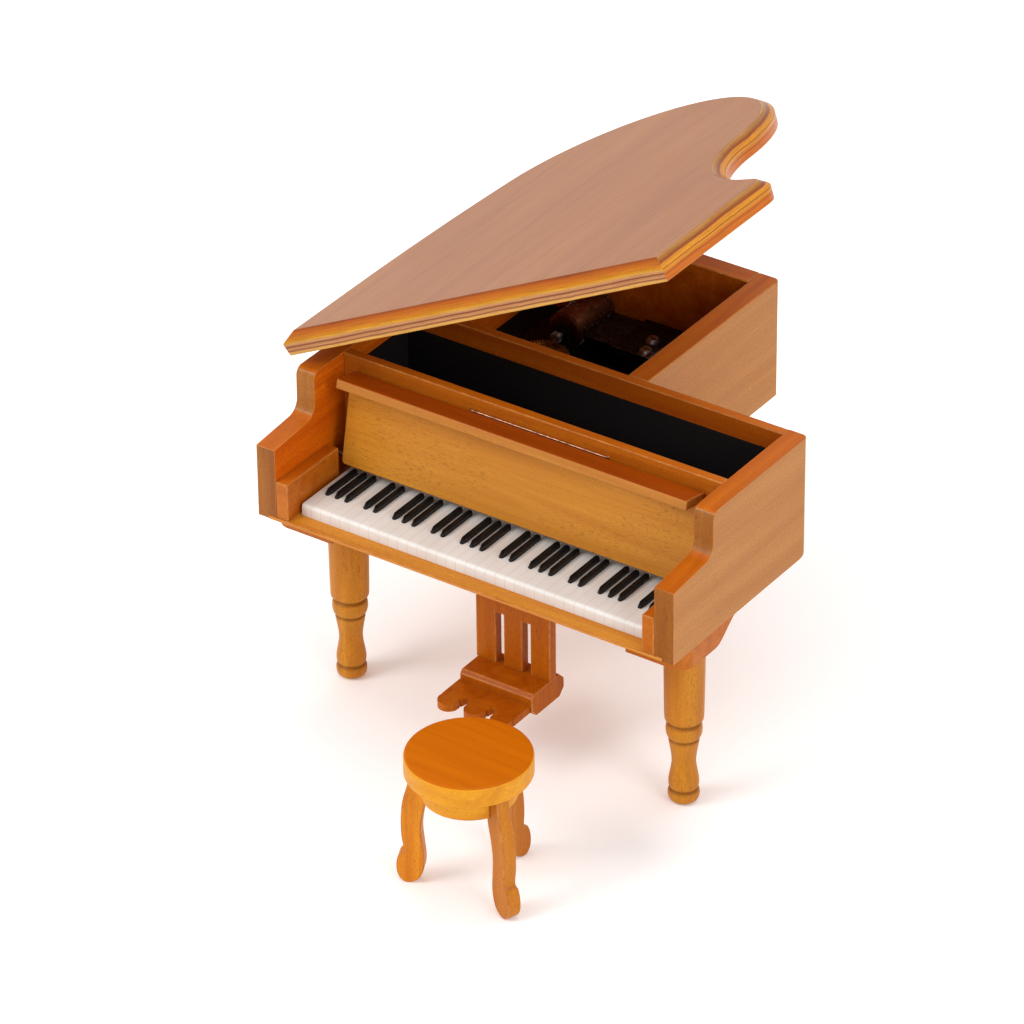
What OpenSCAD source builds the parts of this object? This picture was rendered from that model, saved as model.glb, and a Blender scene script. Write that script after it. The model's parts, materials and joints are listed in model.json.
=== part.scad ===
// Miniature grand piano with a hinged lid, a folding key cover, a cylinder musical movement,
// a pedal lyre and a matching three-legged stool. Millimetres, +Z up, keyboard facing -Y.

/* [Case] */
// Outer width of the case across the keyboard
case_w = 160; // [156:1:170]
// Thickness of the two side boards
side_t = 7.2; // [6:0.1:8]
// Height of the underside of the side boards above the floor
case_low = 72.6; // [70:0.1:80]
// Height of the top edge of the case above the floor
case_top = 116.8; // [115:0.1:120]
// Depth of the wide front part of the case
body_d = 77.6; // [76:0.1:80]
// Outer width of the narrow tail part
tail_w = 99.6; // [96:0.1:104]
// Depth of the whole case, front of the arms to back of the tail
tail_d = 156.6; // [154:0.1:162]
// Thickness of the tail's right wall
tail_side_t = 7.9; // [5:0.1:8]
// Thickness of the tail's back wall
back_t = 7.5; // [5:0.1:8]
// Thickness of the divider between the tray and the movement bay
divider_t = 3.5; // [3:0.1:5]
// Distance from the front of the arms to the front rail
rail_y = 38.7; // [38.6:0.1:40]
// Thickness of the front rail
rail_t = 3.4; // [3:0.1:5]
// Thickness of the thin board let into the underside of the case
board_t = 1.2; // [1:0.1:1.6]

/* [Arms] */
// Height of the arm at its front end
arm_front_z = 99; // [97:0.1:102]
// Height of the arm where its curve begins
arm_back_z = 100.6; // [99:0.1:103]
// Distance from the front of the arm to its riser
riser_y = 22.4; // [20:0.1:24]
// Radius of the hollow curve at the foot of the riser
riser_hollow_r = 5; // [4:0.5:6]
// Radius of the round at the head of the riser
riser_head_r = 3; // [2:0.5:4]

/* [Keyboard] */
// Width of the blocks at both ends of the keyboard
block_w = 4.7; // [4:0.1:5]
// Height of the top of those blocks
block_top = 87.4; // [86:0.1:89]
// Number of white keys, the last one cut short
white_count = 36; // [29:7:36]
// Spacing of the white keys
key_pitch = 3.78; // [3.7:0.01:3.8]
// Distance from the front of the arms to the front of the white keys
key_front = 5.9; // [5.6:0.1:7]
// Height of the white keys above the thin board at the front
key_h = 4.2; // [3.5:0.1:4.5]
// Distance from the front of the arms to the front of the black keys
black_front = 14.4; // [14:0.1:16]
// Length of a black key
black_len = 16.6; // [14:0.1:16.8]
// Width of a black key
black_w = 1.9; // [1.8:0.1:2.4]
// Height of a black key above the white ones
black_h = 1.7; // [1.4:0.1:2]

/* [Key cover] */
// Distance from the front of the arms to the cover's hinge line
cover_y = 30.6; // [30:0.1:31]
// Height of the cover's hinge line
cover_z = 83.8; // [83.5:0.1:84.2]
// Angle by which the open cover leans back
cover_lean = 11.4; // [10:0.1:11.6]
// Thickness of the cover's panel
panel_t = 3; // [2.5:0.1:3]
// Height of the whole cover above its hinge line, measured along the panel
cover_h = 28.9; // [28:0.1:29]
// Thickness of the ledge along the top of the cover
ledge_t = 3.4; // [2.8:0.1:3.4]
// Depth of that ledge
ledge_d = 10.1; // [9:0.1:10.2]

/* [Lid] */
// Angle of the open lid
lid_open = 27; // [20:1:30]
// Width of the lid at its widest
lid_w = 163.5; // [163:0.5:166]
// Height of the lid's upright edge, below the bevel
lid_edge_h = 4.4; // [4:0.1:5]
// Height of the bevel along the lid's top edge
bevel_h = 3.1; // [2.5:0.1:3.5]
// Width of that bevel
bevel_w = 3.6; // [3:0.1:4]
// Distance from the front of the arms to the lid's front edge
lid_y = 23.4; // [23:0.1:25]
// Distance of the hinge line outside the case
hinge_out = 1.6; // [1.6:0.1:1.8]
// Gap between the case and the closed lid, which the two hinges fill
lid_gap = 3; // [2.8:0.1:3.2]

/* [Legs and lyre] */
// Distance of the front left leg's axis from the left face of the case
leg_x = 14; // [13.5:0.1:14.5]
// Distance of the front right leg's axis from the right face of the case
leg_x_right = 14.8; // [14:0.1:15]
// Distance of the front legs' axes from the front of the arms
leg_y = 29.4; // [28:0.1:30]
// Distance of the rear leg's axis from the front of the arms
rear_leg_y = 134; // [130:1:136]
// Thickness of the leg blocks
leg_block_t = 7.6; // [7:0.1:8]
// Width of the lyre's upright plate
lyre_w = 29; // [27:0.5:31]
// Height of the top of the lyre's base
lyre_base_z = 26.5; // [25:0.5:28]

/* [Stool] */
// Radius of the seat
seat_r = 20.5; // [19:0.5:22]
// Height of the top of the seat
seat_z = 50; // [48:1:54]
// Thickness of the seat
seat_t = 7.1; // [6:0.1:8]
// Radius of the apron under the seat
apron_r = 15.3; // [15:0.1:16]
// Depth of the apron
apron_h = 8.2; // [7:0.1:9]
// Distance of the stool's axis from the left side of the case
stool_x = 115.2; // [110:0.1:118]
// Distance of the stool's axis in front of the arms
stool_y = 47.5; // [44:0.5:50]

/* [Musical movement] */
// Radius of the pinned cylinder
cyl_r = 6.5; // [6:0.1:6.6]
// Length of the pinned cylinder
cyl_len = 20; // [18:0.5:20]
// Number of teeth of the comb
comb_teeth = 18; // [12:1:18]

/* [Hidden] */
$fn = 48;
eps = 0.01;

// Colours
wood = [0.80, 0.48, 0.16];
wood_dark = [0.66, 0.34, 0.10];
felt = [0.05, 0.05, 0.06];
brass = [0.80, 0.62, 0.30];
steel = [0.70, 0.71, 0.73];

// The lid hinge, in case coordinates
hinge_x = -hinge_out;
hinge_z = case_top + lid_gap / 2;
lid_inset = 1.45;
lid_t = lid_edge_h + bevel_h;
lower_inset = 0.5;

// Lid outline: tail circle, hollow bentside circle, lobe corner circle and long spine curve
tail_c = [61, 112];
tail_r = 56;
bent_r = 49;
bent_c = [tail_c[0] + sqrt(pow(tail_r + bent_r, 2) - 16), tail_c[1] + 4];
lobe_r = 10;
lobe_x = lid_w - lobe_r;
lobe_c = [lobe_x, bent_c[1] - sqrt(pow(bent_r + lobe_r, 2) - pow(bent_c[0] - lobe_x, 2))];
spine_start = 40;
spine_r = (pow(tail_c[0], 2) - pow(tail_r, 2) + pow(tail_c[1] - spine_start, 2))
    / (2 * (tail_c[0] - tail_r));
spine_c = [spine_r, spine_start];

// The origin stands under the middle of everything, at floor height
x_low = hinge_x - lid_inset * cos(lid_open) - (lid_gap / 2 + lid_edge_h) * sin(lid_open);
y_low = -stool_y - seat_r;
y_high = lid_y + tail_c[1] + tail_r;
origin = [(x_low + case_w) / 2, (y_low + y_high) / 2, 0];

inner_l = side_t;
deck_z = case_low + board_t;
inner_r = case_w - side_t;
bay_r = tail_w - tail_side_t;
bay_back = tail_d - back_t;
rail_back = rail_y + rail_t;
divider_y = body_d - divider_t;
board_in = 4.2;
board_out = 0.3;
corner_r = 2;

keys_l = inner_l + block_w + 1.1;
keys_r = inner_r - block_w - 0.3;
key_back = rail_y - 5.2;

pin_r = 0.9;
pin_reach = 3;
pin_grip = 4;
panel_l = 12.8;
panel_r = keys_r - 0.2;
ledge_l = inner_l + block_w + 0.3;
ledge_r = ledge_l + 134.5;

hinge_len = 16;
hinge_ys = [46, 100];
knuckle_len = 5.2;
knuckle_r = lid_gap / 2 - 0.1;
leaf_t = 0.8;
leaf_w = 8;
hinge_pin_r = 0.6;
play = 0.05;

block_z = case_low - leg_block_t;
leg_hold_r = 3;
leg_hold_h = 4;
front_block = [22.6, 30.7];
front_block_in = 0.5;
front_block_y = 7.9;

lyre_x = case_w / 2;
lyre_y = 28;
lyre_t = 3.7;
slot_w = 3.2;
slot_gap = 10.4;
slot_top = 46;
pedal_t = 2.7;
base_l = [28.4, 18.4, 8.8];
base_y = 18.1;

movement_board_t = 8.7;
felt_t = 0.5;
floor_z = deck_z + movement_board_t + felt_t;
bed_t = 2;
bed_z = floor_z + bed_t;
axis_x = 36.1;
axis_z = bed_z + 7.5;
cyl_y = 124;
barrel_c = [axis_x, 109.5];
barrel_r = 10.5;
barrel_low = bed_z + 0.3;
barrel_h = 4;
crown_h = 1.1;
drive_r = 2;
gov_c = barrel_c + [11.5, -4.2];
fly_c = gov_c + [6, 0];
comb_tip = axis_x + cyl_r + 0.4;
comb_t = 1;
comb_root = [55, 69.5];
stem_r = 1.5;

leg_profile = [[0, 0], [3.6, 0], [4.6, 0.7], [5.1, 2], [5.1, 3.2], [4.8, 4.2], [4.45, 4.7],
    [4.7, 5.2], [4.95, 6.3], [4.95, 7.6], [4.65, 10], [4.2, 12.6], [3.97, 14.8], [4.1, 17],
    [4.5, 19.6], [5, 21.8], [4.85, 22.4], [5.3, 22.9], [5.75, 24.4], [5.95, 26.2],
    [5.85, 28.2], [5.5, 29.6], [5.15, 30.2], [5.6, 30.6], [6.2, 31.5], [6.45, 33.4]];

// The stool's legs: the direction each one stands in and how far its foot leans out
stool_legs = [[82, 3.8], [204.5, 0.8], [339, 2.2]];

stool_leg_outline = [[18.4, 42.9], [19.4, 37], [20.9, 31], [21.4, 24], [21.1, 17.2],
    [20.3, 11.8], [21.9, 10.4], [22.7, 7], [22.3, 3], [20.4, 0.3], [18, 0], [15.4, 1.6],
    [14, 4.8], [13.7, 8.8], [14.4, 15], [14.9, 20.5], [14.3, 26.5], [13.3, 31.5],
    [13, 36], [13, 42.9]];

// ---- helpers ----

module place() translate(-origin) children();

// A profile drawn as (y, z), made solid from x0 over a length
module along_x(x0, length)
    translate([x0, 0, 0]) rotate([90, 0, 90]) linear_extrude(length) children();

module block(low, high) translate(low) cube(high - low);

// Lid coordinates: across from the spine edge, back from the front edge, up from the underside
module on_lid()
    translate([hinge_x, lid_y, hinge_z]) rotate([0, -lid_open, 0])
        translate([-lid_inset, 0, lid_gap / 2]) children();

// Key cover coordinates: the hinge line is the X axis and the panel stands along +Z
module on_cover() translate([0, cover_y, cover_z]) rotate([-cover_lean, 0, 0]) children();

// A rectangle whose corners can each be rounded, as [low x, low y], [high x, high y] and four radii
module soft_rect(low, high, radii) {
    corners = [low, [high[0], low[1]], high, [low[0], high[1]]];
    turn = [[1, 1], [-1, 1], [-1, -1], [1, -1]];
    difference() {
        translate(low) square(high - low);
        for (i = [0:3]) if (radii[i] > 0) difference() {
            translate(corners[i]) scale(turn[i]) translate([-1, -1]) square(radii[i] + 1);
            translate(corners[i] + turn[i] * radii[i]) circle(radii[i]);
        }
    }
}

// A smooth closed curve through points
function bend(a, b, c, d, t) = 0.5 * (2 * b + (c - a) * t + (2 * a - 5 * b + 4 * c - d) * t * t
    + (3 * b - a - 3 * c + d) * t * t * t);
function smooth(p, first, last, n) = [for (i = [first:last]) for (j = [0:n - 1])
    bend(p[i - 1], p[i], p[i + 1], p[i + 2], j / n)];

// Points on an arc with their outward normals; side is -1 where the outline is hollow
function arc(c, r, a0, a1, n, side) = [for (i = [0:n]) let(a = a0 + (a1 - a0) * i / n)
    [c[0] + r * cos(a), c[1] + r * sin(a), side * cos(a), side * sin(a)]];
function heading(a, b) = atan2(b[1] - a[1], b[0] - a[0]);

// ---- case ----

module arm_profile(depth, low_r) {
    foot_y = riser_y - riser_hollow_r;
    difference() {
        soft_rect([0, case_low], [depth, case_top], [0, low_r, 0, 0]);
        difference() {
            polygon([[-1, arm_front_z], [0, arm_front_z], [foot_y, arm_back_z],
                [foot_y, arm_back_z + riser_hollow_r], [riser_y, arm_back_z + riser_hollow_r],
                [riser_y, case_top + 1], [-1, case_top + 1]]);
            translate([riser_y, case_top - riser_head_r]) square([1, 1]);
        }
        difference() {
            translate([foot_y - eps, arm_back_z]) square(riser_hollow_r + eps);
            translate([foot_y, arm_back_z + riser_hollow_r]) difference() {
                square(4 * riser_hollow_r, center = true);
                circle(riser_hollow_r);
            }
        }
        difference() {
            translate([riser_y - eps, case_top - riser_head_r]) square(riser_head_r + 1);
            translate([riser_y + riser_head_r, case_top - riser_head_r]) circle(riser_head_r);
            translate([riser_y + riser_head_r, 0]) square([20, 200]);
        }
    }
}

module side_board(x0, depth, low_r, rear_corner) {
    intersection() {
        along_x(x0, side_t) arm_profile(depth, low_r);
        translate([0, 0, case_low - 1]) linear_extrude(case_top)
            soft_rect([x0, 0], [x0 + side_t, depth], rear_corner);
    }
}

module pin_bore(x0) translate([x0, cover_y, cover_z]) rotate([0, 90, 0])
    cylinder(r = pin_r + play, h = pin_reach + 0.2);

// The thin board and the rebate it fills in the walls
module thin_board() {
    block([board_in, -board_out, case_low], [case_w - board_in, body_d, deck_z]);
    block([board_in, body_d - 1, case_low], [tail_w - board_in, tail_d - board_in, deck_z]);
}

module left_side() color(wood) place() difference() {
    side_board(0, tail_d, 0, [0, 0, 0, corner_r]);
    thin_board();
    pin_bore(inner_l - pin_reach - 0.1);
}

module right_side() color(wood) place() difference() {
    side_board(inner_r, body_d, 4, [0, 0, corner_r, 0]);
    thin_board();
    pin_bore(inner_r - 0.1);
}

module front_rail() color(wood) place()
    block([inner_l, rail_y, deck_z], [inner_r, rail_back, case_top]);

module divider() color(wood) place()
    block([inner_l, divider_y, deck_z], [inner_r, body_d, case_top]);

module tail_side() color(wood) place() difference() {
    translate([0, 0, case_low]) linear_extrude(case_top - case_low)
        soft_rect([bay_r, body_d], [tail_w, tail_d], [0, 0, corner_r, 0]);
    thin_board();
}

module back_wall() color(wood) place() difference() {
    block([inner_l, bay_back, case_low], [bay_r, tail_d, case_top]);
    thin_board();
}

module stem_hole(r) translate([barrel_c[0], barrel_c[1], 0]) cylinder(r = r, h = 2 * case_top);

module bottom_board() color(wood) place() difference() {
    thin_board();
    stem_hole(3);
}

module tray_lining() color(felt) place() {
    wall = 0.8;
    difference() {
        block([inner_l, rail_back, deck_z], [inner_r, divider_y, case_top - 7.2]);
        block([inner_l + wall, rail_back + wall, deck_z + 1],
            [inner_r - wall, divider_y - wall, case_top]);
    }
}

module movement_board() color(wood_dark) place() difference() {
    block([inner_l, body_d, deck_z], [bay_r, bay_back, floor_z - felt_t]);
    stem_hole(3);
}

module bay_lining() color(felt) place() difference() {
    block([inner_l, body_d, floor_z - felt_t], [bay_r, bay_back, floor_z]);
    stem_hole(3);
}

// ---- keyboard ----

module key_block(x0) color(wood) place()
    block([x0, 0, deck_z], [x0 + block_w, 28.4, block_top]);

module left_key_block() key_block(inner_l);
module right_key_block() key_block(inner_r - block_w);

module white_keys() color([0.93, 0.91, 0.88]) place() {
    front_r = 1.2;
    groove = [0.18, 0.35];
    difference() {
        along_x(keys_l, keys_r - keys_l)
            soft_rect([key_front, deck_z], [key_back, deck_z + key_h], [0, 0, 0, front_r]);
        for (i = [1:white_count - 1])
            translate([keys_l + i * key_pitch - groove[0] / 2, 0, deck_z + key_h - groove[1]])
                cube([groove[0], key_back + 1, 1]);
    }
}

// Black keys stand after the first, second, third, fifth and sixth of every seven white keys
function has_black(i) = let(step = i % 7) step != 4 && step != 0;

module black_key() {
    tip = 0.9;
    intersection() {
        translate([-black_w / 2, 0, 0]) along_x(0, black_w) polygon([[0, 0], [0, 0.7],
            [1.9, black_h], [black_len - 0.4, black_h], [black_len, black_h - 0.4],
            [black_len, 0]]);
        translate([0, 0, -1]) linear_extrude(black_h + 2) polygon([[-black_w / 2, tip],
            [-black_w / 2 + 0.6, 0], [black_w / 2 - 0.6, 0], [black_w / 2, tip],
            [black_w / 2, black_len - tip], [0.5, black_len], [-0.5, black_len],
            [-black_w / 2, black_len - tip]]);
    }
}

module black_keys() color([0.06, 0.06, 0.07]) place()
    for (i = [1:white_count - 1]) if (has_black(i))
        translate([keys_l + i * key_pitch, black_front, deck_z + key_h]) black_key();

// ---- key cover ----

module key_cover_panel() color(wood) place() on_cover() difference() {
    rotate([90, 0, 0]) translate([0, 0, -panel_t / 2]) linear_extrude(panel_t)
        soft_rect([panel_l, -2.4], [panel_r, cover_h - ledge_t], [1.4, 1.4, 0, 0]);
    for (x0 = [panel_l - 1, panel_r - pin_grip])
        translate([x0, 0, 0]) rotate([0, 90, 0]) cylinder(r = pin_r, h = pin_grip + 1);
}

module key_cover_ledge() color(wood) place() on_cover()
    along_x(ledge_l, ledge_r - ledge_l)
        soft_rect([panel_t / 2 - ledge_d, cover_h - ledge_t], [panel_t / 2, cover_h],
            [0.4, 0, 0, 0.6]);

module key_cover_pins() color(steel) place() {
    for (ends = [[inner_l - pin_reach, panel_l + pin_grip],
            [panel_r - pin_grip, inner_r + pin_reach]])
        translate([ends[0], cover_y, cover_z]) rotate([0, 90, 0])
            cylinder(r = pin_r, h = ends[1] - ends[0]);
}

// A bent wire let into the rail, which the open cover's ledge rests against
module rest_wire() color(steel) place() {
    wire_r = 0.4;
    bend_r = 1.2;
    z = cover_z + 28.1;
    y = rail_y - 0.45;
    ends = [58.2, 109];
    translate([ends[0], y, z]) rotate([0, 90, 0]) cylinder(r = wire_r, h = ends[1] - ends[0]);
    for (i = [0:1]) translate([ends[i], y, z]) mirror([1 - i, 0, 0]) {
        translate([0, bend_r, 0]) rotate(-90) rotate_extrude(angle = 90)
            translate([bend_r, 0]) circle(wire_r);
        translate([bend_r, bend_r, 0]) rotate([-90, 0, 0]) cylinder(r = wire_r, h = 1.4);
    }
}

// ---- lid ----

lid_outline = concat(
    [[0, 0, -1, -1], [lid_w, 0, 1, -1]],
    arc(lobe_c, lobe_r, 0, heading(lobe_c, bent_c), 12, 1),
    arc(bent_c, bent_r, heading(lobe_c, bent_c) + 180, heading(bent_c, tail_c) + 360, 24, -1),
    arc(tail_c, tail_r, heading(tail_c, bent_c), heading(spine_c, tail_c), 48, 1),
    arc(spine_c, spine_r, heading(spine_c, tail_c), 180, 10, 1));

function lid_ring(inset, height) = [for (p = lid_outline)
    [p[0] - inset * p[2], p[1] - inset * p[3], height]];

module lid_board() color(wood) place() on_lid() {
    n = len(lid_outline);
    rings = [lid_ring(lower_inset, 0), lid_ring(0, lid_edge_h), lid_ring(bevel_w, lid_t)];
    polyhedron(
        points = [for (ring = rings) for (p = ring) p],
        faces = concat(
            [[for (i = [0:n - 1]) i]],
            [for (k = [0:1]) for (i = [0:n - 1]) let(j = (i + 1) % n)
                [k * n + j, k * n + i, (k + 1) * n + i, (k + 1) * n + j]],
            [[for (i = [n - 1:-1:0]) 2 * n + i]]));
}

module knuckles(starts, r) for (y = starts)
    translate([0, y, 0]) rotate([-90, 0, 0]) cylinder(r = r, h = knuckle_len);

module pin_hole(r) translate([0, -1, 0]) rotate([-90, 0, 0]) cylinder(r = r, h = hinge_len + 2);

module screw_holes(z0, r) for (y = [hinge_len / 4, hinge_len * 3 / 4])
    translate([leaf_w * 0.62, y, z0]) cylinder(r = r, h = 2, center = true);

// A leaf whose knuckles lie on the Y axis; its plate lies against the case or the lid
module hinge_leaf(starts, other_starts, plate_z, bore_r) difference() {
    union() {
        knuckles(starts, knuckle_r);
        translate([0, 0, plate_z]) cube([leaf_w, hinge_len, leaf_t]);
    }
    for (y = other_starts) translate([-3, y - 0.1, -3]) cube([4.7, knuckle_len + 0.2, 6]);
    pin_hole(bore_r);
    screw_holes(plate_z + leaf_t / 2, hinge_pin_r + play);
}

outer_knuckles = [0, hinge_len - knuckle_len];
middle_knuckle = [(hinge_len - knuckle_len) / 2];

// Hinge coordinates on the case and on the lid; both share the hinge line
module on_case_hinge() for (y = hinge_ys) translate([hinge_x, y, hinge_z]) children();
module on_lid_hinge() for (y = hinge_ys)
    translate([hinge_x, y, hinge_z]) rotate([0, -lid_open, 0]) children();

module case_hinge_leaves() color(brass) place() on_case_hinge()
    hinge_leaf(outer_knuckles, middle_knuckle, -lid_gap / 2, hinge_pin_r);

module lid_hinge_leaves() color(brass) place() on_lid_hinge()
    hinge_leaf(middle_knuckle, outer_knuckles, lid_gap / 2 - leaf_t, hinge_pin_r + play);

module hinge_pins() color(steel) place() on_case_hinge()
    rotate([-90, 0, 0]) cylinder(r = hinge_pin_r, h = hinge_len);

// A screw with its head on a leaf and its shank in the wood, pointing down
module wood_screw() {
    translate([0, 0, -5]) cylinder(r = hinge_pin_r, h = 5);
    difference() {
        cylinder(r1 = 1.3, r2 = 1.1, h = 0.4);
        translate([-2, -0.15, 0.2]) cube([4, 0.3, 1]);
    }
}

module case_hinge_screws() color(brass) place() on_case_hinge()
    for (y = [hinge_len / 4, hinge_len * 3 / 4])
        translate([leaf_w * 0.62, y, leaf_t - lid_gap / 2]) wood_screw();

module lid_hinge_screws() color(brass) place() on_lid_hinge()
    for (y = [hinge_len / 4, hinge_len * 3 / 4])
        translate([leaf_w * 0.62, y, lid_gap / 2 - leaf_t]) rotate([180, 0, 0]) wood_screw();

// ---- legs and lyre ----

// Side view of a leg block: flat underside, then a swept tail up to the case
module block_profile(length) {
    sweep_y = length * 0.56;
    polygon(concat([[0, leg_block_t], [0, 0]], [for (i = [0:12])
        [sweep_y + (length - sweep_y) * i / 12, leg_block_t * (1 - cos(15 * i)) / 2]]));
}

module leg_block(radii, hold) difference() {
    intersection() {
        along_x(0, front_block[0]) block_profile(front_block[1]);
        translate([0, 0, -1]) linear_extrude(leg_block_t + 2)
            soft_rect([0, 0], front_block, radii);
    }
    translate([hold[0], hold[1], -1]) cylinder(r = leg_hold_r, h = leg_hold_h + 1);
}

module front_left_block() color(wood) place()
    translate([front_block_in, front_block_y, block_z])
        leg_block([5, 0, 0, 0], [leg_x - front_block_in, leg_y - front_block_y]);

module front_right_block() color(wood) place()
    translate([case_w - front_block_in - front_block[0], front_block_y, block_z])
        leg_block([0, 5, 0, 0],
            [front_block[0] + front_block_in - leg_x_right, leg_y - front_block_y]);

module rear_block() color(wood) place()
    translate([(tail_w - front_block[0]) / 2, bay_back, block_z]) mirror([0, 1, 0])
        leg_block([0, 0, 0, 0], [front_block[0] / 2, bay_back - rear_leg_y]);

module leg(x, y) color(wood) place() translate([x, y, 0])
    rotate_extrude() polygon(concat(leg_profile, [[6.85, block_z], [leg_hold_r, block_z],
        [leg_hold_r, block_z + leg_hold_h], [0, block_z + leg_hold_h]]));

module front_left_leg() leg(leg_x, leg_y);
module front_right_leg() leg(case_w - leg_x_right, leg_y);
module rear_leg() leg(tail_w / 2, rear_leg_y);

module lyre_plate() color(wood_dark) place() difference() {
    block([lyre_x - lyre_w / 2, lyre_y, lyre_base_z],
        [lyre_x + lyre_w / 2, lyre_y + lyre_t, case_low]);
    for (side = [-1, 1]) translate([lyre_x + side * slot_gap / 2 - slot_w / 2, lyre_y - 1,
        lyre_base_z - 1]) cube([slot_w, lyre_t + 2, slot_top - lyre_base_z + 1]);
}

module lyre_base() color(wood_dark) place() difference() {
    low = 2.6;
    high = 1.2;
    along_x(lyre_x - base_l[0] / 2, base_l[0]) translate([base_y, lyre_base_z - base_l[2]])
        polygon([[low, 0], [base_l[1] - low, 0], [base_l[1], low],
            [base_l[1], base_l[2] - low], [base_l[1] - low, base_l[2]], [high, base_l[2]],
            [0, base_l[2] - high], [0, low]]);
    pedals();
}

// The pedals are the three toes of one plate, let into the base below its top
module pedals() {
    toe_r = 3.7;
    toe_y = 7.2;
    pitch = 10.3;
    x0 = lyre_x - 0.7;
    translate([0, 0, lyre_base_z - 4 - pedal_t]) linear_extrude(pedal_t) difference() {
        union() {
            translate([x0 - pitch - toe_r, toe_y + 1.6])
                square([2 * (pitch + toe_r), base_y + 4 - toe_y - 1.6]);
            for (i = [-1:1]) translate([x0 + i * pitch, toe_y]) circle(toe_r);
        }
        for (side = [-1, 1]) hull() {
            translate([x0 + side * pitch / 2, toe_y + 3]) circle(1);
            translate([x0 + side * pitch / 2 - 1.6, toe_y - 1]) square([3.2, 1]);
        }
    }
}

module pedal_plate() color(wood_dark) place() pedals();

// ---- musical movement ----

module along_axis(y, r, h) translate([axis_x, y, axis_z]) rotate([-90, 0, 0]) cylinder(r = r, h = h);

module gear(teeth, r, depth, h) {
    cylinder(r = r - depth, h = h);
    step = 360 / teeth;
    linear_extrude(h) for (i = [0:teeth - 1]) rotate(i * step)
        polygon([[0, 0], [(r - depth * 1.4) * cos(step * 0.3), -(r - depth * 1.4) * sin(step * 0.3)],
            [r * cos(step * 0.14), -r * sin(step * 0.14)], [r * cos(step * 0.14), r * sin(step * 0.14)],
            [(r - depth * 1.4) * cos(step * 0.3), (r - depth * 1.4) * sin(step * 0.3)]]);
}

bearing_y = [[cyl_y - 2.8, cyl_y - 1.3], [cyl_y + cyl_len + 1.3, cyl_y + cyl_len + 2.8]];

module movement_bedplate() color(steel) place() difference() {
    union() {
        block([19, 97, floor_z], [70.5, bay_back - 1, bed_z]);
        for (b = bearing_y)
            block([axis_x - 3, b[0], floor_z], [axis_x + 3, b[1], axis_z + 2.2]);
        block([comb_root[0] + 1, cyl_y - 1, floor_z],
            [comb_root[1], cyl_y + cyl_len + 1, axis_z - comb_t]);
    }
    block([axis_x - cyl_r - 1.5, cyl_y - 0.8, floor_z - 1],
        [axis_x + cyl_r + 1.5, cyl_y + cyl_len + 0.8, axis_z]);
    along_axis(cyl_y - 10, 1 + play, cyl_len + 20);
    stem_hole(stem_r + play);
    for (c = [gov_c, fly_c]) translate([c[0], c[1], floor_z - 1]) cylinder(r = 0.45, h = 10);
}

// The cylinder's pins follow the tune's tracks: one ring of pins per comb tooth
module pinned_cylinder() color(brass) place() {
    difference() {
        union() {
            along_axis(cyl_y, cyl_r, cyl_len);
            along_axis(cyl_y - 0.4, cyl_r - 0.9, cyl_len + 0.8);
        }
        along_axis(cyl_y - 1, 1, cyl_len + 2);
    }
}

module cylinder_arbor() color(steel) place() {
    along_axis(cyl_y - 6.5, 1, cyl_len + 9.2);
    translate([axis_x, cyl_y - 6.5, axis_z]) rotate([-90, 0, 0]) gear(12, drive_r, 0.5, 1.9);
}

module comb() color(steel) place() {
    pitch = (cyl_len - 1.6) / comb_teeth;
    difference() {
        block([comb_root[0], cyl_y - 0.5, axis_z - comb_t],
            [comb_root[1], cyl_y + cyl_len + 0.5, axis_z + 0.4]);
        for (spot = comb_screw_spots) translate(spot) cylinder(r = 1.25, h = 200);
    }
    for (i = [0:comb_teeth - 1])
        block([comb_tip, cyl_y + 0.8 + (i + 0.12) * pitch, axis_z - comb_t],
            [comb_root[0] + eps, cyl_y + 0.8 + (i + 0.88) * pitch, axis_z]);
}

comb_screw_spots = [[66.8, cyl_y + 2.2, 0], [64.8, cyl_y + 9.3, 0]];

module comb_screws() color(steel) place() for (spot = comb_screw_spots)
    translate(spot + [0, 0, axis_z + 0.4]) {
        difference() {
            cylinder(r1 = 2.6, r2 = 1.9, h = 1.5);
            translate([-3, -0.3, 0.8]) cube([6, 0.6, 2]);
        }
        translate([0, 0, -1.4]) cylinder(r = 1.2, h = 1.4);
    }

module spring_barrel() color(brass) place() translate([barrel_c[0], barrel_c[1], barrel_low]) {
    difference() {
        union() {
            gear(60, barrel_r, 0.5, 2.4);
            cylinder(r = barrel_r - 0.9, h = barrel_h);
            for (i = [0:59]) rotate(i * 6) translate([barrel_r - 2.6, -0.2, barrel_h - eps])
                cube([1.6, 0.4, crown_h]);
        }
        translate([0, 0, -1]) cylinder(r = stem_r + play, h = 20);
    }
}

module governor_wheel() color(brass) place() translate([gov_c[0], gov_c[1], bed_z - 1]) {
    cylinder(r = 0.4, h = 10.6);
    translate([0, 0, 1.4]) gear(10, 1.6, 0.4, 2.2);
    translate([0, 0, 6.9]) gear(40, 4.9, 0.3, 0.9);
}

module air_brake() color(steel) place() translate([fly_c[0], fly_c[1], bed_z - 1]) {
    cylinder(r = 0.4, h = 10.6);
    translate([0, 0, 6.6]) gear(8, 0.95, 0.25, 1.5);
    translate([-0.2, -3.2, 1.6]) cube([0.4, 6.4, 4.2]);
}

module governor_bracket() color(brass) place() difference() {
    union() {
        translate([0, 0, bed_z + 8.2]) linear_extrude(0.8)
            soft_rect(gov_c + [-2.2, -2.2], fly_c + [7, 2.2], [2, 2, 2, 2]);
        translate([fly_c[0] + 5, fly_c[1], bed_z]) cylinder(r = 1.2, h = 8.6);
    }
    for (c = [gov_c, fly_c]) translate([c[0], c[1], bed_z + 5]) cylinder(r = 0.45, h = 10);
}

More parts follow.
